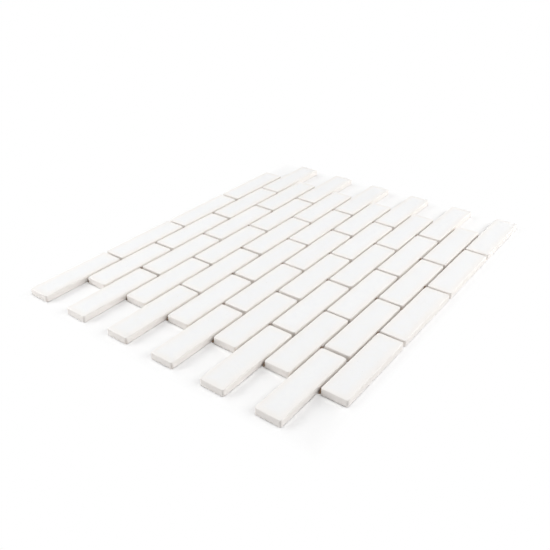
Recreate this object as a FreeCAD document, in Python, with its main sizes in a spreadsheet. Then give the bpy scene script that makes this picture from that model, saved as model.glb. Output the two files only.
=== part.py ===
"""A sheet of brick mosaic: small pressed ceramic bricks in running bond, glued by their backs to a glass-fibre net.

The sheet lies on its net, face up. +X runs along the bricks, +Y across the rows towards the first row, and +Z up.
The origin is under the middle of the sheet, level with the underside of the net.
"""

import FreeCAD
import Part
import Sketcher
import os
import random

Vector = FreeCAD.Vector

# The driving dimensions, in millimetres, and the turn in degrees. The spreadsheet holds them.
DIMENSIONS = {
    "brick_long": 73.0,
    "brick_wide": 20.0,
    "brick_thick": 5.0,
    "corner_round": 1.5,
    "face_round": 0.8,
    "back_round": 0.3,
    "joint_wide": 2.0,
    "play_along": 0.35,
    "play_across": 0.12,
    "play_turn": 0.15,
    "strand_wide": 1.0,
    "strand_thick": 0.5,
}

# The layout of the sheet: its rows, the bricks in each, how far every second row is shifted (as a share of the pitch
# along the bricks), and how many of the net's squares lie under one brick with its joint.
ROWS = 12
BRICKS_IN_ROW = 4
ROWS_ON_PANEL = 2
ROW_SHIFT = 0.5
SHEET_PITCHES = BRICKS_IN_ROW + ROW_SHIFT
SQUARES_ALONG_BRICK = 10
SQUARES_ACROSS_BRICK = 3
# A hand-set brick lies anywhere in the play of its mould. One seed gives the same sheet each time.
PLAY_SEED = 11


def make_sizes(doc):
    """The spreadsheet of driving dimensions: a name, a plain number and an alias on each line."""
    sizes = doc.addObject("Spreadsheet::Sheet", "sizes")
    for line, (name, value) in enumerate(DIMENSIONS.items(), 1):
        sizes.set(f"A{line}", name)
        sizes.set(f"B{line}", str(value))
        sizes.setAlias(f"B{line}", name)
    doc.recompute()
    return sizes


def shift_of(row):
    """How far along a row starts, in pitches. Rows are counted from 0."""
    return ROW_SHIFT * (row % 2)


def ground_plane(body):
    """The body's own horizontal plane."""
    return next(f for f in body.Origin.OriginFeatures if f.Role == "XY_Plane")


def sketch_on_ground(body, name):
    """An empty sketch on the body's horizontal plane."""
    sketch = body.newObject("Sketcher::SketchObject", name)
    sketch.AttachmentSupport = [(ground_plane(body), "")]
    sketch.MapMode = "FlatFace"
    return sketch


def closed_lines(points):
    """A straight side from each point to the next, and from the last to the first."""
    return [Part.LineSegment(a, b) for a, b in zip(points, points[1:] + points[:1])]


def rectangle(left, bottom, right, top):
    """The corners of a rectangle, in order."""
    return [Vector(left, bottom), Vector(right, bottom), Vector(right, top), Vector(left, top)]


def edges_where(shape, test):
    """The names of the edges whose two ends pass a test on their heights."""
    names = []
    for number, edge in enumerate(shape.Edges, 1):
        heights = [vertex.Z for vertex in edge.Vertexes]
        if test(min(heights), max(heights)):
            names.append(f"Edge{number}")
    return names


def draw_brick_outline(body, name):
    """A rectangle centred on the body's origin, as long and as wide as the sheet of sizes says."""
    sketch = sketch_on_ground(body, name)
    half_long = DIMENSIONS["brick_long"] / 2
    half_wide = DIMENSIONS["brick_wide"] / 2
    sketch.addGeometry(closed_lines(rectangle(-half_long, -half_wide, half_long, half_wide)), False)
    for side in range(4):
        sketch.addConstraint(Sketcher.Constraint("Coincident", side, 2, (side + 1) % 4, 1))
    for side, direction in enumerate(["Horizontal", "Vertical", "Horizontal", "Vertical"]):
        sketch.addConstraint(Sketcher.Constraint(direction, side))
    sketch.addConstraint(Sketcher.Constraint("Symmetric", 0, 1, 1, 2, -1, 1))
    long_side = sketch.addConstraint(Sketcher.Constraint("DistanceX", 0, 1, 0, 2, 2 * half_long))
    wide_side = sketch.addConstraint(Sketcher.Constraint("DistanceY", 1, 1, 1, 2, 2 * half_wide))
    sketch.setExpression(f"Constraints[{long_side}]", "sizes.brick_long")
    sketch.setExpression(f"Constraints[{wide_side}]", "sizes.brick_wide")
    return sketch


def round_edges(body, base, edges, name, radius):
    """Rounds some edges of the last feature, to a radius from the sheet of sizes."""
    fillet = body.newObject("PartDesign::Fillet", name)
    fillet.Base = (base, edges)
    fillet.setExpression("Radius", radius)
    fillet.recompute(True)
    return fillet


def make_brick(doc, name, thick):
    """One pressed brick, face up, with its back centred on the body's origin."""
    body = doc.addObject("PartDesign::Body", name)
    body.Label = name
    pressing = body.newObject("PartDesign::Pad", f"{name}_pressing")
    pressing.Profile = draw_brick_outline(body, f"{name}_outline")
    pressing.setExpression("Length", "sizes.brick_thick")
    pressing.recompute(True)
    upright = edges_where(pressing.Shape, lambda low, high: high - low > thick / 2)
    corners = round_edges(body, pressing, upright, f"{name}_corners", "sizes.corner_round")
    around_face = edges_where(corners.Shape, lambda low, high: low > thick / 2)
    face = round_edges(body, corners, around_face, f"{name}_face", "sizes.face_round")
    around_back = edges_where(face.Shape, lambda low, high: high < thick / 100)
    body.Tip = round_edges(body, face, around_back, f"{name}_back", "sizes.back_round")
    return body


def set_brick(body, row, column, play):
    """Puts a brick in its row. Every second row is half a brick on, and each brick has used up some of its play."""
    pitch_along = "(sizes.brick_long + sizes.joint_wide)"
    pitch_across = "(sizes.brick_wide + sizes.joint_wide)"
    steps_along = column + 0.5 + shift_of(row) - SHEET_PITCHES / 2
    steps_across = ROWS / 2 - row - 0.5
    along, across, turn = (play.uniform(-1, 1) for _ in range(3))
    body.Placement.Rotation = FreeCAD.Rotation(Vector(0, 0, 1), 0)
    body.setExpression(
        "Placement.Base.x", f"{steps_along} * {pitch_along} + {along} * sizes.play_along"
    )
    body.setExpression(
        "Placement.Base.y", f"{steps_across} * {pitch_across} + {across} * sizes.play_across"
    )
    body.setExpression("Placement.Base.z", "sizes.strand_thick")
    body.setExpression("Placement.Rotation.Angle", f"{turn} * sizes.play_turn")


class NetLayout:
    """Where the strands lie, in the frame of the sheet: the same grid of squares under every row of bricks."""

    def __init__(self, sizes):
        self.pitch_along = sizes.brick_long + sizes.joint_wide
        self.pitch_across = sizes.brick_wide + sizes.joint_wide
        self.square_long = self.pitch_along / SQUARES_ALONG_BRICK
        self.square_wide = self.pitch_across / SQUARES_ACROSS_BRICK
        self.half_strand = sizes.strand_wide / 2
        self.cross_strands = BRICKS_IN_ROW * SQUARES_ALONG_BRICK
        self.shared_strands = self.cross_strands - round(ROW_SHIFT * SQUARES_ALONG_BRICK)

    def first_cross_strand(self, row):
        """The middle of the row's first cross strand, half a square from the start of its first brick's share."""
        return (shift_of(row) - SHEET_PITCHES / 2) * self.pitch_along + self.square_long / 2

    def last_cross_strand(self, row):
        return self.first_cross_strand(row) + (self.cross_strands - 1) * self.square_long

    def first_long_strand(self, row):
        """The middle of the row's first long strand, half a square from the edge of the row's share."""
        return (ROWS / 2 - row) * self.pitch_across - self.square_wide / 2

    def last_long_strand(self, row):
        return self.first_long_strand(row) - (SQUARES_ACROSS_BRICK - 1) * self.square_wide

    def openings(self, left, top, along, across):
        """The sides of a block of the net's square openings, from the strands that cross at its left and top."""
        sides = []
        for i in range(along):
            for j in range(across):
                x = left + i * self.square_long
                y = top - j * self.square_wide
                sides += closed_lines(
                    rectangle(
                        x + self.half_strand,
                        y - self.square_wide + self.half_strand,
                        x + self.square_long - self.half_strand,
                        y - self.half_strand,
                    )
                )
        return sides

    def strand_ends(self, row):
        """The cross strands that run on from a row to the next panel, as teeth on its lower edge, from right to left."""
        edge = self.last_long_strand(row) - self.half_strand
        tip = self.first_long_strand(row + 1) + self.half_strand
        left = max(self.first_cross_strand(row), self.first_cross_strand(row + 1))
        points = []
        for i in reversed(range(self.shared_strands)):
            x = left + i * self.square_long
            points += [
                Vector(x + self.half_strand, edge),
                Vector(x + self.half_strand, tip),
                Vector(x - self.half_strand, tip),
                Vector(x - self.half_strand, edge),
            ]
        return points

    def outline(self, upper, lower):
        """Round a panel's two rows, stepped where the lower one starts and ends half a brick further on."""
        h = self.half_strand
        points = [
            Vector(self.first_cross_strand(upper) - h, self.first_long_strand(upper) + h),
            Vector(self.last_cross_strand(upper) + h, self.first_long_strand(upper) + h),
            Vector(self.last_cross_strand(upper) + h, self.first_long_strand(lower) + h),
            Vector(self.last_cross_strand(lower) + h, self.first_long_strand(lower) + h),
            Vector(self.last_cross_strand(lower) + h, self.last_long_strand(lower) - h),
        ]
        if lower + 1 < ROWS:
            points += self.strand_ends(lower)
        else:
            points.append(Vector(self.first_cross_strand(lower) - h, self.last_long_strand(lower) - h))
        return points + [
            Vector(self.first_cross_strand(lower) - h, self.last_long_strand(upper) - h),
            Vector(self.first_cross_strand(upper) - h, self.last_long_strand(upper) - h),
        ]

    def lattice(self, upper, lower):
        """Every side of a panel's sketch: its outline, the openings under each row, and those between the two."""
        sides = closed_lines(self.outline(upper, lower))
        for row in (upper, lower):
            sides += self.openings(
                self.first_cross_strand(row),
                self.first_long_strand(row),
                self.cross_strands - 1,
                SQUARES_ACROSS_BRICK - 1,
            )
        return sides + self.openings(
            self.first_cross_strand(lower), self.last_long_strand(upper), self.shared_strands - 1, 1
        )


def make_net_panel(doc, name, layout, upper):
    """The net under two rows of bricks, its strands fused where they cross."""
    body = doc.addObject("PartDesign::Body", name)
    body.Label = name
    sketch = sketch_on_ground(body, f"{name}_lattice")
    sketch.addGeometry(layout.lattice(upper, upper + 1), False)
    strands = body.newObject("PartDesign::Pad", f"{name}_strands")
    strands.Profile = sketch
    strands.Refine = False
    strands.setExpression("Length", "sizes.strand_thick")
    body.Tip = strands
    return body


def check(doc, pieces):
    """Stops if a feature failed, or if a piece isn't one or more sound solids."""
    failed = [o.Label for o in doc.Objects if "Invalid" in o.State or "Error" in o.State]
    if failed:
        raise RuntimeError(f"these objects failed: {failed}")
    for piece in pieces:
        if piece.Shape.isNull() or not piece.Shape.isValid() or not piece.Shape.Solids:
            raise RuntimeError(f"{piece.Label} has no sound solid")


def main():
    doc = FreeCAD.newDocument("brick_mosaic")
    sizes = make_sizes(doc)
    play = random.Random(PLAY_SEED)
    pieces = []
    for row in range(ROWS):
        for column in range(BRICKS_IN_ROW):
            brick = make_brick(doc, f"brick_row{row + 1:02d}_{column + 1}", sizes.brick_thick)
            set_brick(brick, row, column, play)
            pieces.append(brick)
    layout = NetLayout(sizes)
    for upper in range(0, ROWS, ROWS_ON_PANEL):
        pieces.append(
            make_net_panel(doc, f"net_rows_{upper + 1:02d}_{upper + 2:02d}", layout, upper)
        )
    doc.recompute()
    check(doc, pieces)
    os.makedirs("parts", exist_ok=True)
    for piece in pieces:
        piece.Shape.exportStep(f"parts/{piece.Label}.step")


main()
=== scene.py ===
"""A sheet of white brick mosaic on its net, lying face up on a white floor, seen from the photograph's angle.

Lengths are in metres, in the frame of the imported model: +X along the bricks, +Y towards the first row, +Z up.
"""

import math
import random

import bmesh
import bpy
from mathutils import Matrix, Vector, noise


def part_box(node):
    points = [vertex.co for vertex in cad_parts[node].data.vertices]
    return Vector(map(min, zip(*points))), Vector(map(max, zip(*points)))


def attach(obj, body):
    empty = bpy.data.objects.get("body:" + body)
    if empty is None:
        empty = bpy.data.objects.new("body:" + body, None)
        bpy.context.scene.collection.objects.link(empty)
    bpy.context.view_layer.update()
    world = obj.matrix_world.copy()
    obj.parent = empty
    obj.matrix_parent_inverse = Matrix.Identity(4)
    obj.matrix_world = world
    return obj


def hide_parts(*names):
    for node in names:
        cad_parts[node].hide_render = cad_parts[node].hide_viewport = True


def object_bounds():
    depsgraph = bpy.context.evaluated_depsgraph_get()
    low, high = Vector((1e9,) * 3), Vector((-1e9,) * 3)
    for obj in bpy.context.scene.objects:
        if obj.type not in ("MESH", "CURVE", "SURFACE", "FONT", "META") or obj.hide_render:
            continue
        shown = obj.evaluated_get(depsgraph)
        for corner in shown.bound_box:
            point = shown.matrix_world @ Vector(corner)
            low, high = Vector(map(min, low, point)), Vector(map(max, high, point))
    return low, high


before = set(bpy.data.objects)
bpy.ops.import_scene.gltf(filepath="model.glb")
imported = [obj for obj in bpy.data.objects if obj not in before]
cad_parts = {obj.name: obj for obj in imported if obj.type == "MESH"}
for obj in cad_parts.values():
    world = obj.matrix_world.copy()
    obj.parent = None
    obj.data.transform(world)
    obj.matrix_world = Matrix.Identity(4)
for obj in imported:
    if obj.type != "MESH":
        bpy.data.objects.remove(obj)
cad_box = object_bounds()
MM = 0.001

# The view. The sheet is seen from its near left corner, from about the height of a seated person's eyes
# over a table, through a slightly wide lens.
CAMERA_PLACE = Vector((-387.7, -269.6, 266.7)) * MM
CAMERA_HEADING = 36.9
CAMERA_DIP = 30.91
CAMERA_LENS = 41.87

camera = bpy.data.objects.new("camera", bpy.data.cameras.new("camera"))
camera.location = CAMERA_PLACE
camera.rotation_euler = (math.radians(90 - CAMERA_DIP), 0, math.radians(CAMERA_HEADING - 90))
camera.data.lens = CAMERA_LENS
camera.data.clip_start = 0.01
bpy.context.scene.collection.objects.link(camera)
bpy.context.scene.camera = camera
bpy.context.scene.view_settings.view_transform = "Standard"


class Shade:
    """A socket in a tree of shader nodes. Sums and products of shades add the Math nodes for them."""

    def __init__(self, tree, socket=None):
        self.tree = tree
        self.socket = socket

    def node(self, kind, settings, inputs, output=0):
        """Adds a node, makes its settings, then fills or links its sockets. Gives back one of its outputs."""
        made = self.tree.nodes.new(kind)
        for name, value in settings.items():
            setattr(made, name, value)
        for name, value in inputs.items():
            if isinstance(value, Shade):
                self.tree.links.new(value.socket, made.inputs[name])
            else:
                made.inputs[name].default_value = value
        return Shade(self.tree, made.outputs[output] if made.outputs else None)

    def maths(self, operation, *values):
        return self.node("ShaderNodeMath", {"operation": operation}, dict(enumerate(values)))

    def __add__(self, other):
        return self.maths("ADD", self, other)

    def __radd__(self, other):
        return self.maths("ADD", other, self)

    def __sub__(self, other):
        return self.maths("SUBTRACT", self, other)

    def __rsub__(self, other):
        return self.maths("SUBTRACT", other, self)

    def __mul__(self, other):
        return self.maths("MULTIPLY", self, other)

    def __rmul__(self, other):
        return self.maths("MULTIPLY", other, self)

    def rising(self, low, high):
        """0 where this is under low, 1 where it is over high, and smooth between."""
        return self.node(
            "ShaderNodeMapRange",
            {"interpolation_type": "SMOOTHSTEP"},
            {"Value": self, "From Min": low, "From Max": high},
        )

    def blend(self, low, high):
        """The colour low where this is 0, and high where it is 1."""
        return self.node(
            "ShaderNodeMix",
            {"data_type": "RGBA"},
            {0: self, 6: low, 7: high},
            2,
        )


def colour(red, green, blue):
    return (red, green, blue, 1)


# The light. A pale room, a broad lamp above, and four more to the left, the right and behind. None stands on
# the camera's side, so the ends and corners that face the camera are the darkest part of each brick.
ROOM = 0.15
LAMP_SIZE = 0.7
LAMPS = [
    # name, bearing from +X towards +Y and rise in degrees, distance in metres, watts
    ("lamp_above", 0, 90, 1.5, 5.4),
    ("lamp_left", 135, 20, 1.1, 5.4),
    ("lamp_right", 315, 20, 1.1, 5.8),
    ("lamp_near_right", 270, 45, 1.1, 3.35),
    ("lamp_behind", 90, 45, 1.1, 3.15),
]

world = bpy.data.worlds.new("room")
bpy.context.scene.world = world
world.use_nodes = True
world.node_tree.nodes.clear()
room = Shade(world.node_tree)
seen = room.node("ShaderNodeLightPath", {}, {}, "Is Camera Ray")
mirrored = room.node("ShaderNodeLightPath", {}, {}, "Is Glossy Ray")
shown = seen.maths("MAXIMUM", seen, mirrored)
lit_room = room.node("ShaderNodeBackground", {}, {"Color": colour(1, 1, 1), "Strength": ROOM})
white_room = room.node("ShaderNodeBackground", {}, {"Color": colour(1, 1, 1), "Strength": 1.0})
room_light = room.node("ShaderNodeMixShader", {}, {0: shown, 1: lit_room, 2: white_room})
room.node("ShaderNodeOutputWorld", {}, {"Surface": room_light})

for name, bearing, rise, away, watts in LAMPS:
    light = bpy.data.lights.new(name, "AREA")
    light.shape = "DISK"
    light.size = LAMP_SIZE
    light.energy = watts
    stand = bpy.data.objects.new(name, light)
    level, up = away * math.cos(math.radians(rise)), away * math.sin(math.radians(rise))
    stand.location = (level * math.cos(math.radians(bearing)), level * math.sin(math.radians(bearing)), up)
    stand.rotation_euler = (-stand.location).to_track_quat("-Z", "Y").to_euler()
    bpy.context.scene.collection.objects.link(stand)

# The floor. A matt white sheet of paper, far larger than what the camera sees. To the camera it is pure white
# away from the bricks, and close to them it holds their shadow.
FLOOR_HALF = 4.0
FLOOR_BELOW = 0.02 * MM
FLOOR_WHITE = 0.93
FLOOR_GLOW = 0.03
SHADOW_REACH = (-5 * MM, 9 * MM)

sheet_half = ((cad_box[1].x - cad_box[0].x) / 2, (cad_box[1].y - cad_box[0].y) / 2, 0)
floor_mesh = bmesh.new()
bmesh.ops.create_grid(floor_mesh, x_segments=1, y_segments=1, size=FLOOR_HALF)
bmesh.ops.translate(floor_mesh, vec=(0, 0, -FLOOR_BELOW), verts=floor_mesh.verts)
floor = bpy.data.objects.new("floor", bpy.data.meshes.new("floor"))
floor_mesh.to_mesh(floor.data)
floor_mesh.free()
bpy.context.scene.collection.objects.link(floor)

paper = bpy.data.materials.new("white paper")
paper.use_nodes = True
paper.node_tree.nodes.clear()
sheet = Shade(paper.node_tree)
seen = sheet.node("ShaderNodeLightPath", {}, {}, "Is Camera Ray")
matt = sheet.node("ShaderNodeBsdfDiffuse", {}, {"Color": colour(FLOOR_WHITE, FLOOR_WHITE, FLOOR_WHITE)})
glow = sheet.node("ShaderNodeEmission", {}, {"Color": colour(1, 1, 1), "Strength": seen * FLOOR_GLOW})
near = sheet.node("ShaderNodeAddShader", {}, {0: matt, 1: glow})
white = sheet.node("ShaderNodeEmission", {}, {"Color": colour(1, 1, 1), "Strength": 1.0})
here = sheet.node("ShaderNodeTexCoord", {}, {}, "Object")
folded = sheet.node("ShaderNodeVectorMath", {"operation": "ABSOLUTE"}, {0: here})
off = sheet.node("ShaderNodeVectorMath", {"operation": "SUBTRACT"}, {0: folded, 1: sheet_half})
off_end = sheet.node("ShaderNodeSeparateXYZ", {}, {0: off}, "X")
off_side = sheet.node("ShaderNodeSeparateXYZ", {}, {0: off}, "Y")
far = off.maths("MAXIMUM", off_end, off_side).rising(*SHADOW_REACH) * seen
both = sheet.node("ShaderNodeMixShader", {}, {0: far, 1: near, 2: white})
sheet.node("ShaderNodeOutputMaterial", {}, {"Surface": both})
floor.data.materials.append(paper)


# The bricks. Each is pressed from dry cream clay in a steel die, which leaves soft arrises, then sprayed with
# a matt white glaze from above and fired. The glaze thins towards the rim, where the clay begins to warm it,
# is thin on the sides and worn at some corners, and gives out down to the bare back.
BRICK = Vector((73, 20, 5)) * MM
CORNER_ROUND = 1.6 * MM
FACE_ROUND = 0.8 * MM
BACK_ROUND = 0.06 * MM
FOOT_WIDE = 0.7 * MM
FOOT_DEEP = 0.3 * MM
CORNER_STEPS = 6
FACE_STEPS = 5
BACK_STEPS = 3
SLICE_ALONG = 1.8 * MM
SLICE_ACROSS = 1.8 * MM
SLICE_UP = 1.1 * MM
BOW = 0.10 * MM
BOW_LENGTH = 30 * MM
WAVE = 0.035 * MM
WAVE_LENGTH = 5 * MM


def cut_across(mesh, places, direction):
    """Cuts a mesh in slices, at these distances along a direction."""
    for place in places:
        bmesh.ops.bisect_plane(
            mesh,
            geom=mesh.verts[:] + mesh.edges[:] + mesh.faces[:],
            plane_co=direction * place,
            plane_no=direction,
        )


def even_places(low, high, step):
    """Places from low to high that are about a step apart, with both ends."""
    count = max(1, round((high - low) / step))
    return [low + (high - low) * i / count for i in range(count + 1)]


def round_off(mesh, test, radius, steps):
    """Rounds the edges whose two ends pass a test on their heights."""
    edges = [e for e in mesh.edges if test(*sorted(v.co.z for v in e.verts))]
    bmesh.ops.bevel(
        mesh, geom=edges, offset=radius, affect="EDGES", segments=steps, profile=0.5, material=-1
    )


def press_brick():
    """The brick as the die leaves it, its back centred on the origin, with a low foot round it.

    It is cut in slices that can be drawn out of true.
    """
    mesh = bmesh.new()
    bmesh.ops.create_cube(mesh, size=1)
    bmesh.ops.translate(mesh, vec=(0, 0, 0.5), verts=mesh.verts)
    bmesh.ops.scale(mesh, vec=(BRICK.x, BRICK.y, BRICK.z + FOOT_DEEP), verts=mesh.verts)
    bmesh.ops.translate(mesh, vec=(0, 0, -FOOT_DEEP), verts=mesh.verts)
    round_off(mesh, lambda low, high: high - low > BRICK.z / 2, CORNER_ROUND, CORNER_STEPS)
    round_off(mesh, lambda low, high: low > BRICK.z / 2, FACE_ROUND, FACE_STEPS)
    round_off(mesh, lambda low, high: high < 0, BACK_ROUND, BACK_STEPS)
    back = min(mesh.faces, key=lambda face: face.calc_center_median().z)
    bmesh.ops.inset_region(mesh, faces=[back], thickness=FOOT_WIDE)
    bmesh.ops.translate(mesh, vec=(0, 0, FOOT_DEEP), verts=back.verts)
    half = BRICK / 2
    along, across = half.x - CORNER_ROUND, half.y - CORNER_ROUND
    cut_across(mesh, even_places(-along, along, SLICE_ALONG), Vector((1, 0, 0)))
    cut_across(mesh, even_places(-across, across, SLICE_ACROSS), Vector((0, 1, 0)))
    low, high = BACK_ROUND - FOOT_DEEP, BRICK.z - FACE_ROUND
    cut_across(mesh, even_places(low, high, SLICE_UP), Vector((0, 0, 1)))
    bmesh.ops.remove_doubles(mesh, verts=mesh.verts, dist=0.01 * MM)
    return mesh


def draw_out_of_true(mesh, seed):
    """Draws each point of a brick in a little, as drying and firing do. No point moves outwards."""
    mesh.normal_update()
    own = Vector((seed * 3.7, seed * 1.9, seed * 5.3))
    for vert in mesh.verts:
        bow = noise.noise(vert.co / BOW_LENGTH + own)
        wave = noise.noise(vert.co / WAVE_LENGTH + own)
        vert.co -= vert.normal * (BOW * (0.5 + 0.5 * bow) + WAVE * (0.5 + 0.5 * wave))


def place_of(node):
    """Where the frame holds a brick: the middle of its back, and its turn about Z from its two ends."""
    low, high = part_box(node)
    middle = (low + high) / 2
    points = [v.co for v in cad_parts[node].data.vertices]
    start = [p for p in points if p.x < middle.x]
    end = [p for p in points if p.x > middle.x]
    run = sum(end, Vector()) / len(end) - sum(start, Vector()) / len(start)
    turn = Matrix.Rotation(math.atan2(run.y, run.x), 4, "Z")
    return Matrix.Translation((middle.x, middle.y, low.z)) @ turn


def from_rim(point):
    """How far a point of the die's brick lies in from the brick's outline, in plan."""
    off_end = abs(point.x) - BRICK.x / 2 + CORNER_ROUND
    off_side = abs(point.y) - BRICK.y / 2 + CORNER_ROUND
    past = math.hypot(max(off_end, 0), max(off_side, 0)) + min(max(off_end, off_side), 0)
    return CORNER_ROUND - past


def from_corner(point):
    """How far a point of the die's brick is from the nearest corner of the brick, in plan."""
    return math.hypot(BRICK.x / 2 - abs(point.x), BRICK.y / 2 - abs(point.y))


def grain(where, size, detail=2.0):
    """Noise whose grains are about this large, from 0 to 1."""
    return where.node("ShaderNodeTexNoise", {}, {"Vector": where, "Scale": 1 / size, "Detail": detail})


def stretched(where, factors):
    """A place to take noise from whose grains are drawn out: shorter along an axis by that axis's factor."""
    return where.node("ShaderNodeVectorMath", {"operation": "MULTIPLY"}, {0: where, 1: factors})


def pinholes(where, spacing, size, share):
    """1 in round specks of this size, in this share of the cells of a loose grid, and 0 elsewhere."""
    inputs = {"Vector": where, "Scale": 1 / spacing}
    gap = where.node("ShaderNodeTexVoronoi", {}, inputs, "Distance")
    lots = where.node("ShaderNodeTexVoronoi", {}, inputs, "Color")
    lot = lots.node("ShaderNodeSeparateXYZ", {}, {0: lots}, "X")
    picked = lot.maths("LESS_THAN", lot, share)
    return (1 - gap.rising(0, size / spacing)) * picked


GLAZE_DULL = colour(0.884, 0.882, 0.877)
GLAZE_BRIGHT = colour(0.903, 0.904, 0.902)
CLOUDED_GLAZE = colour(0.888, 0.889, 0.894)
RIM_GLAZE = colour(0.900, 0.874, 0.843)
PIT = colour(0.62, 0.57, 0.51)
THIN_GLAZE = colour(0.893, 0.857, 0.823)
SIDE_CLOUD = colour(0.878, 0.838, 0.803)
CLAY = colour(0.66, 0.545, 0.475)
CLAY_PORE = colour(0.50, 0.41, 0.35)
FACE_TURNS = (0.45, 0.97)
BACK_TURNS = (0.3, 0.9)
RIM_WIDE = (-1.0 * MM, 7.5 * MM)
RIM_WANDERS = 3.0 * MM
RIM_PATCH = 9 * MM
GLAZE_THINS = (-2.2 * MM, 0.1 * MM)
GLAZE_WANDERS = 1.0 * MM
GLAZE_PATCH = 4 * MM
CORNER_WORN = (1.2 * MM, 2.8 * MM)
CORNER_TAPER = 0.3
CORNERS_PICKED = (0.42, 0.6)
CORNER_BARE = 0.3
CLOUD = 5 * MM
CLOUD_EDGE = (0.35, 0.65)
PEEL = 1.6 * MM
PEEL_FINE = 0.4 * MM
PIT_SPACING = 3.5 * MM
PIT_SIZE = 0.3 * MM
PIT_SHARE = 0.4
PIT_DEPTH = 1.5
DRAWN_UP = (1, 1, 0.15)
DRAW_LINE = 0.5 * MM
PORE = 0.3 * MM
PORE_EDGE = (0.3, 0.7)
PORE_DEPTH = 1.2
SKIN_RELIEF = 0.1 * MM
BARE_ROUGH = 0.88
GLAZE_SMOOTHS = 0.3
PEEL_ROUGHENS = 0.08
NET_THICK = 0.5 * MM

glazed = bpy.data.materials.new("glazed brick")
glazed.use_nodes = True
glazed.node_tree.nodes.clear()
clay = Shade(glazed.node_tree)
here = clay.node("ShaderNodeTexCoord", {}, {}, "Object")
facing = clay.node("ShaderNodeTexCoord", {}, {}, "Normal")
height = clay.node("ShaderNodeSeparateXYZ", {}, {0: here}, "Z")
upward = clay.node("ShaderNodeSeparateXYZ", {}, {0: facing}, "Z")
tone = clay.node("ShaderNodeAttribute", {"attribute_name": "tone"}, {}, "Fac")

inward = clay.node("ShaderNodeAttribute", {"attribute_name": "inward"}, {}, "Fac")
cornered = clay.node("ShaderNodeAttribute", {"attribute_name": "cornered"}, {}, "Fac")
face_cover = upward.rising(*FACE_TURNS)
in_from_rim = (inward + (grain(here, RIM_PATCH) - 0.5) * RIM_WANDERS).rising(*RIM_WIDE)
face = in_from_rim.blend(RIM_GLAZE, tone.blend(GLAZE_DULL, GLAZE_BRIGHT))
face_cloud = in_from_rim.blend(RIM_GLAZE, CLOUDED_GLAZE)
run_down = NET_THICK + (grain(here, GLAZE_PATCH) - 0.5) * GLAZE_WANDERS
bare_back = (0 - upward).rising(*BACK_TURNS)
worn = 1 - (cornered + height * CORNER_TAPER).rising(*CORNER_WORN)
bare_corner = worn * grain(here, RIM_PATCH).rising(*CORNERS_PICKED) * CORNER_BARE
glaze = (height - run_down).rising(*GLAZE_THINS) * (1 - bare_back) * (1 - bare_corner)
peel = grain(here, PEEL) * 0.6 + grain(here, PEEL_FINE) * 0.4
pits = pinholes(here, PIT_SPACING, PIT_SIZE, PIT_SHARE)
drawn = grain(stretched(here, DRAWN_UP), DRAW_LINE, detail=3.0)
draw_lines = drawn * 0.5 + grain(here, DRAW_LINE) * 0.5
pores = grain(here, PORE, detail=4.0)
cloud = grain(here, CLOUD, detail=4.0).rising(*CLOUD_EDGE)
glazed_face = pits.blend(cloud.blend(face, face_cloud), PIT)
glazed_side = cloud.blend(THIN_GLAZE, SIDE_CLOUD)
bare_clay = pores.rising(*PORE_EDGE).blend(CLAY_PORE, CLAY)
surface = glaze.blend(bare_clay, face_cover.blend(glazed_side, glazed_face))
on_face = peel - pits * PIT_DEPTH
glazed_relief = face_cover * on_face + (1 - face_cover) * draw_lines
relief = glaze * glazed_relief + (1 - glaze) * pores * PORE_DEPTH
bump = clay.node("ShaderNodeBump", {}, {"Height": relief, "Distance": SKIN_RELIEF, "Strength": 1.0})
roughness = BARE_ROUGH - glaze * GLAZE_SMOOTHS + peel * PEEL_ROUGHENS
finish = clay.node(
    "ShaderNodeBsdfPrincipled",
    {},
    {"Base Color": surface, "Roughness": roughness, "Specular IOR Level": 0.35, "Normal": bump},
)
clay.node("ShaderNodeOutputMaterial", {}, {"Surface": finish})

firing = random.Random(5)
brick_nodes = sorted(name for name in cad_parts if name.startswith("brick_"))
pressed = press_brick()
pressed_mesh = bpy.data.meshes.new("pressed")
pressed.to_mesh(pressed_mesh)
pressed.free()
for number, node in enumerate(brick_nodes):
    mesh = bmesh.new()
    mesh.from_mesh(pressed_mesh)
    inward_layer = mesh.verts.layers.float.new("inward")
    corner_layer = mesh.verts.layers.float.new("cornered")
    tone_layer = mesh.verts.layers.float.new("tone")
    own_tone = firing.random()
    for vert in mesh.verts:
        vert[inward_layer] = from_rim(vert.co)
        vert[corner_layer] = from_corner(vert.co)
        vert[tone_layer] = own_tone
    draw_out_of_true(mesh, number + 1)
    mesh.transform(place_of(node))
    for face in mesh.faces:
        face.smooth = True
    brick = bpy.data.objects.new(node.replace("brick_", "glazed_brick_"), bpy.data.meshes.new(node))
    mesh.to_mesh(brick.data)
    mesh.free()
    brick.data.materials.append(glazed)
    bpy.context.scene.collection.objects.link(brick)
    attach(brick, "root")
    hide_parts(node)


# The net. Glass-fibre yarns in a white coating, woven in leno: flat yarns run along the bricks, and the ones
# across them are pairs of thin yarns that twist round every flat one. The net is cut in steps, along with the
# bricks' ends.
SQUARE_LONG = 7.5 * MM
SQUARE_WIDE = 22 / 3 * MM
HALF_STRAND = 0.5 * MM
STEP_SQUARES = 5
ROW_STRANDS = 3
FLAT_YARN = (1.05 * MM, 0.17 * MM)
FLAT_YARN_PINCH = 0.22
FLAT_YARN_WANDER = 0.14 * MM
THIN_YARN = (0.46 * MM, 0.17 * MM)
TWIST_ASIDE = 0.22 * MM
TWIST_UP = 0.163 * MM
CUT_END = 2.0 * MM
CUT_SHORT = (0.3, 1)
FLAT_WAVE = 20 * MM
PAIR_WAVE = 15 * MM
PAIR_NOISE = 7
FLAT_SIDES = 8
FLAT_SLICES = 4
THIN_SIDES = 6
THIN_SLICES = 6


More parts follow.
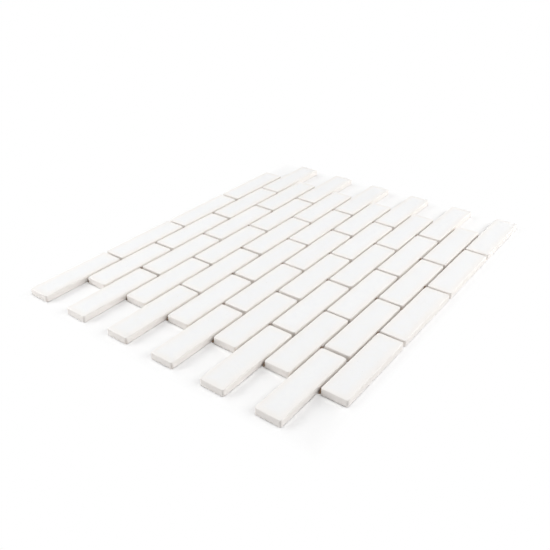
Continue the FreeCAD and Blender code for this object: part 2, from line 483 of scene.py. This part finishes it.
def spin_yarn(length, width, thick, sides, slices):
    """A straight yarn along +X, oval in section and cut in slices, that runs past both ends of its length."""
    mesh = bmesh.new()
    bmesh.ops.create_cone(mesh, cap_ends=True, segments=sides, radius1=0.5, radius2=0.5, depth=1)
    bmesh.ops.rotate(mesh, matrix=Matrix.Rotation(math.radians(90), 3, "Y"), verts=mesh.verts)
    bmesh.ops.translate(mesh, vec=(0.5, 0, 0), verts=mesh.verts)
    bmesh.ops.scale(mesh, vec=(length + 2 * CUT_END, width, thick), verts=mesh.verts)
    bmesh.ops.translate(mesh, vec=(-CUT_END, 0, 0), verts=mesh.verts)
    cut_across(mesh, [length * i / slices for i in range(slices + 1)], Vector((1, 0, 0)))
    spun = bpy.data.meshes.new("yarn")
    mesh.to_mesh(spun)
    mesh.free()
    return spun


def trim_ends(verts, length, start_end, far_end):
    """Cuts a yarn off this far past each end of its length."""
    for vert in verts:
        past = vert.co.x - length
        if vert.co.x < 0:
            vert.co.x *= start_end / CUT_END
        elif past > 0:
            vert.co.x = length + past * far_end / CUT_END


def add_copy(mesh, made):
    """Adds a copy of a made mesh, such as a yarn. Gives its points."""
    before = len(mesh.verts)
    mesh.from_mesh(made)
    mesh.verts.ensure_lookup_table()
    return mesh.verts[before:]


def lay_flat_yarn(mesh, spun, length, start, seed):
    """Lays a flat yarn from its first crossing along +X, narrow at each one and never quite straight."""
    verts = add_copy(mesh, spun)
    trim_ends(verts, length, CUT_END * weaving.uniform(*CUT_SHORT), CUT_END * weaving.uniform(*CUT_SHORT))
    for vert in verts:
        along = vert.co.x
        pinch = math.cos(math.pi * along / SQUARE_LONG) ** 2
        vert.co.y *= 1 - FLAT_YARN_PINCH * pinch
        vert.co.y += FLAT_YARN_WANDER * noise.noise(Vector((along / FLAT_WAVE, seed, 0)))
        vert.co += start


def lay_twisted_pair(mesh, spun, length, start, start_end, far_end, seed):
    """Lays two thin yarns from their first crossing along -Y, with half a turn of twist to each square."""
    for half_turn in (0, math.pi):
        verts = add_copy(mesh, spun)
        cut_start = start_end * weaving.uniform(*CUT_SHORT)
        cut_far = far_end * weaving.uniform(*CUT_SHORT)
        trim_ends(verts, length, cut_start, cut_far)
        for vert in verts:
            down, aside, up = vert.co
            turn = math.pi * down / SQUARE_WIDE + half_turn
            aside += TWIST_ASIDE * math.sin(turn)
            aside += FLAT_YARN_WANDER * noise.noise(Vector((down / PAIR_WAVE, seed, PAIR_NOISE)))
            up += TWIST_UP * math.cos(turn)
            vert.co = start + Vector((aside, -down, up))


YARN_BRIGHT = colour(0.88, 0.88, 0.855)
YARN_DULL = colour(0.76, 0.75, 0.72)
FIBRE = 0.9 * MM
FIBRE_EDGE = (0.3, 0.6)
FIBRE_STRETCH = 12
FIBRE_RELIEF = 0.05 * MM
LUMP = 2 * MM
FIBRES_RUN = [
    ("along", (1, FIBRE_STRETCH, FIBRE_STRETCH)),
    ("across", (FIBRE_STRETCH, 1, FIBRE_STRETCH)),
]

yarn_finish = {}
for run, stretch in FIBRES_RUN:
    coated = bpy.data.materials.new("coated yarn " + run)
    coated.use_nodes = True
    coated.node_tree.nodes.clear()
    coating = Shade(coated.node_tree)
    here = coating.node("ShaderNodeTexCoord", {}, {}, "Object")
    fibres = grain(stretched(here, stretch), FIBRE, detail=3.0)
    lumps = grain(here, LUMP)
    bump = coating.node("ShaderNodeBump", {}, {"Height": fibres, "Distance": FIBRE_RELIEF, "Strength": 1.0})
    finish = coating.node(
        "ShaderNodeBsdfPrincipled",
        {},
        {
            "Base Color": fibres.rising(*FIBRE_EDGE).blend(YARN_DULL, YARN_BRIGHT),
            "Roughness": 0.4 + lumps * 0.3,
            "Normal": bump,
        },
    )
    coating.node("ShaderNodeOutputMaterial", {}, {"Surface": finish})
    yarn_finish[run] = coated

weaving = random.Random(9)
net_nodes = sorted(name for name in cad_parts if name.startswith("net_"))
low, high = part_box(net_nodes[0])
row_long = high.x - low.x - 2 * HALF_STRAND - STEP_SQUARES * SQUARE_LONG
row_squares = round(row_long / SQUARE_LONG)
columns = row_squares + STEP_SQUARES + 1
flat_spun = spin_yarn(row_long, *FLAT_YARN, FLAT_SIDES, FLAT_SLICES * row_squares)
thin_spun = {
    squares: spin_yarn(squares * SQUARE_WIDE, *THIN_YARN, THIN_SIDES, THIN_SLICES * squares)
    for squares in (ROW_STRANDS - 1, 2 * ROW_STRANDS - 1, 2 * ROW_STRANDS)
}
for panel, node in enumerate(net_nodes):
    low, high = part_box(node)
    corner = Vector((low.x + HALF_STRAND, high.y - HALF_STRAND, NET_THICK / 2))
    last = panel == len(net_nodes) - 1
    mesh = bmesh.new()
    for strand in range(2 * ROW_STRANDS):
        shift = STEP_SQUARES if strand >= ROW_STRANDS else 0
        start = corner + Vector((shift * SQUARE_LONG, -strand * SQUARE_WIDE, 0))
        lay_flat_yarn(mesh, flat_spun, row_long, start, panel * 10 + strand)
    flat_faces = len(mesh.faces)
    for column in range(columns):
        top = corner + Vector((column * SQUARE_LONG, 0, 0))
        seed = column + 100
        if column < STEP_SQUARES:
            squares, ends = ROW_STRANDS - 1, (CUT_END, CUT_END)
        elif column < columns - STEP_SQUARES:
            squares = 2 * ROW_STRANDS - 1 if last else 2 * ROW_STRANDS
            ends = (CUT_END if panel == 0 else 0, CUT_END if last else 0)
        else:
            squares, ends = ROW_STRANDS - 1, (CUT_END, CUT_END)
            top.y -= ROW_STRANDS * SQUARE_WIDE
        lay_twisted_pair(mesh, thin_spun[squares], squares * SQUARE_WIDE, top, *ends, seed)
    mesh.faces.ensure_lookup_table()
    for number, face in enumerate(mesh.faces):
        face.smooth = True
        face.material_index = 0 if number < flat_faces else 1
    bmesh.ops.recalc_face_normals(mesh, faces=mesh.faces)
    yarns = bpy.data.objects.new(node.replace("net_", "net_yarns_"), bpy.data.meshes.new(node))
    mesh.to_mesh(yarns.data)
    mesh.free()
    yarns.data.materials.append(yarn_finish["along"])
    yarns.data.materials.append(yarn_finish["across"])
    bpy.context.scene.collection.objects.link(yarns)
    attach(yarns, "root")
    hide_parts(node)

# The glue. A bead of white glue at each crossing of the net, pressed flat against a brick's back while it was
# wet, so that it is wide and ragged there and draws in round the yarns.
BEAD = Vector((2.7, 2.4, 0.42)) * MM
BEAD_SINKS = 0.12
BEAD_RAGGED = 0.35
BEAD_LUMPS = 2.5
BEAD_SIZES = (0.7, 1.15)
GLUE_DULL = colour(0.80, 0.77, 0.70)
GLUE_BRIGHT = colour(0.88, 0.86, 0.81)
GLUE_SKIN = 0.8 * MM
GLUE_RELIEF = 0.06 * MM

glue = bpy.data.materials.new("dried white glue")
glue.use_nodes = True
glue.node_tree.nodes.clear()
film = Shade(glue.node_tree)
here = film.node("ShaderNodeTexCoord", {}, {}, "Object")
skin = grain(here, GLUE_SKIN, detail=3.0)
bump = film.node("ShaderNodeBump", {}, {"Height": skin, "Distance": GLUE_RELIEF, "Strength": 1.0})
finish = film.node(
    "ShaderNodeBsdfPrincipled",
    {},
    {
        "Base Color": skin.blend(GLUE_DULL, GLUE_BRIGHT),
        "Roughness": 0.25 + skin * 0.3,
        "Normal": bump,
    },
)
film.node("ShaderNodeOutputMaterial", {}, {"Surface": finish})

bead = bmesh.new()
bmesh.ops.create_uvsphere(bead, u_segments=8, v_segments=5, radius=0.5)
for vert in bead.verts:
    vert.co.z = vert.co.z * 2 if vert.co.z < 0 else vert.co.z * 2 * BEAD_SINKS
bead_mesh = bpy.data.meshes.new("bead")
bead.to_mesh(bead_mesh)
bead.free()
for panel, node in enumerate(net_nodes):
    low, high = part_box(node)
    corner = Vector((low.x + HALF_STRAND, high.y - HALF_STRAND, NET_THICK))
    mesh = bmesh.new()
    for strand in range(2 * ROW_STRANDS):
        shift = STEP_SQUARES if strand >= ROW_STRANDS else 0
        for column in range(columns - STEP_SQUARES):
            verts = add_copy(mesh, bead_mesh)
            place = corner + Vector(((column + shift) * SQUARE_LONG, -strand * SQUARE_WIDE, 0))
            size = weaving.uniform(*BEAD_SIZES)
            for vert in verts:
                spread = 1 + BEAD_RAGGED * noise.noise(vert.co * BEAD_LUMPS + place / MM)
                flat = Vector((vert.co.x * spread * size, vert.co.y * spread * size, vert.co.z))
                vert.co = place + flat * BEAD
    for face in mesh.faces:
        face.smooth = True
    beads = bpy.data.objects.new(node.replace("net_", "glue_beads_"), bpy.data.meshes.new(node))
    mesh.to_mesh(beads.data)
    mesh.free()
    beads.data.materials.append(glue)
    bpy.context.scene.collection.objects.link(beads)
    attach(beads, "root")

# Painted joint shade. Where joints meet, and at their mouths, a low ragged dark brown heap sits between the
# bricks.
# It is painted shade that stands for the deep shade there, and shows as a dark brown spot; it is no part of the
# sheet.
SHADE_HEAP = Vector((6.0, 2.6, 3.4)) * MM
SHADE_HEAP_LEVEL = 0.1 * MM
SHADE_HEAP_RAGGED = 0.3
SHADE_HEAP_LUMPS = 3
SHADE_HEAP_STEEP = 3
OFFSET_HEAP_ALONG = 0.9 * MM
OFFSET_HEAP_ASIDE = 0.5 * MM
OFFSET_HEAP_RISE = (1.05, 1.35)
MOUTH = 3.2 * MM
MOUTH_RISE = 0.85
# Painted shade: this dark brown on the heaps stands for the shade deep in the joints.
JOINT_SHADE_DARK = colour(0.22, 0.14, 0.09)
JOINT_SHADE_PALE = colour(0.36, 0.26, 0.19)
SHADE_MOTTLE = 0.7 * MM
SHADE_MOTTLE_RELIEF = 0.1 * MM
ROW_NAME = len("brick_row01")

# A material of painted shade, dark brown with a rough mottle, for the heaps in the joints.
joint_shade_paint = bpy.data.materials.new("painted joint shade")
joint_shade_paint.use_nodes = True
joint_shade_paint.node_tree.nodes.clear()
joint_shade_tree = Shade(joint_shade_paint.node_tree)
here = joint_shade_tree.node("ShaderNodeTexCoord", {}, {}, "Object")
shade_mottle = grain(here, SHADE_MOTTLE, detail=4.0)
bump = joint_shade_tree.node("ShaderNodeBump", {}, {"Height": shade_mottle, "Distance": SHADE_MOTTLE_RELIEF, "Strength": 1.0})
finish = joint_shade_tree.node(
    "ShaderNodeBsdfPrincipled",
    {},
    {
        "Base Color": shade_mottle.blend(JOINT_SHADE_DARK, JOINT_SHADE_PALE),
        "Roughness": 0.8,
        "Specular IOR Level": 0.3,
        "Normal": bump,
    },
)
joint_shade_tree.node("ShaderNodeOutputMaterial", {}, {"Surface": finish})

shade_heap = bmesh.new()
bmesh.ops.create_uvsphere(shade_heap, u_segments=10, v_segments=8, radius=0.5)
for vert in shade_heap.verts:
    vert.co.z = (max(vert.co.z, 0) * 2) ** SHADE_HEAP_STEEP
shade_heap_mesh = bpy.data.meshes.new("shade_heap")
shade_heap.to_mesh(shade_heap_mesh)
shade_heap.free()


def heap_shade(mesh, middle, level, rise=1):
    """Adds a ragged dark heap, long along the joint, that paints the shade deep in the joint."""
    place = Vector((middle, level, SHADE_HEAP_LEVEL))
    for vert in add_copy(mesh, shade_heap_mesh):
        spread = 1 + SHADE_HEAP_RAGGED * noise.noise(vert.co * SHADE_HEAP_LUMPS + place / MM)
        heap = Vector((vert.co.x * spread, vert.co.y * spread, vert.co.z * rise))
        vert.co = place + heap * SHADE_HEAP


shade_heaping = random.Random(3)
rows = {}
for node in brick_nodes:
    rows.setdefault(node[:ROW_NAME], []).append(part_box(node))
rows = [sorted(rows[name], key=lambda box: box[0].x) for name in sorted(rows)]
# Heaps of painted shade at each meeting of the joints and at each long joint's two mouths.
for panel, node in enumerate(net_nodes):
    mesh = bmesh.new()
    for number in (2 * panel, 2 * panel + 1):
        row = rows[number]
        if number + 1 == len(rows):
            continue
        below = rows[number + 1]
        level = (min(low.y for low, high in row) + max(high.y for low, high in below)) / 2
        for (low, high), (next_low, next_high) in zip(row, row[1:]):
            heap_shade(mesh, (high.x + next_low.x) / 2, level)
        for (low, high), (next_low, next_high) in zip(below, below[1:]):
            middle = (high.x + next_low.x) / 2 + OFFSET_HEAP_ALONG
            heap_shade(mesh, middle, level + OFFSET_HEAP_ASIDE, shade_heaping.uniform(*OFFSET_HEAP_RISE))
        heap_shade(mesh, max(row[0][0].x, below[0][0].x) + MOUTH, level, MOUTH_RISE)
        heap_shade(mesh, min(row[-1][1].x, below[-1][1].x) - MOUTH, level, MOUTH_RISE)
    bmesh.ops.recalc_face_normals(mesh, faces=mesh.faces)
    shade_heaps = bpy.data.objects.new(node.replace("net_", "painted_joint_shade_"), bpy.data.meshes.new(node))
    mesh.to_mesh(shade_heaps.data)
    mesh.free()
    shade_heaps.data.materials.append(joint_shade_paint)
    bpy.context.scene.collection.objects.link(shade_heaps)
    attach(shade_heaps, "root")
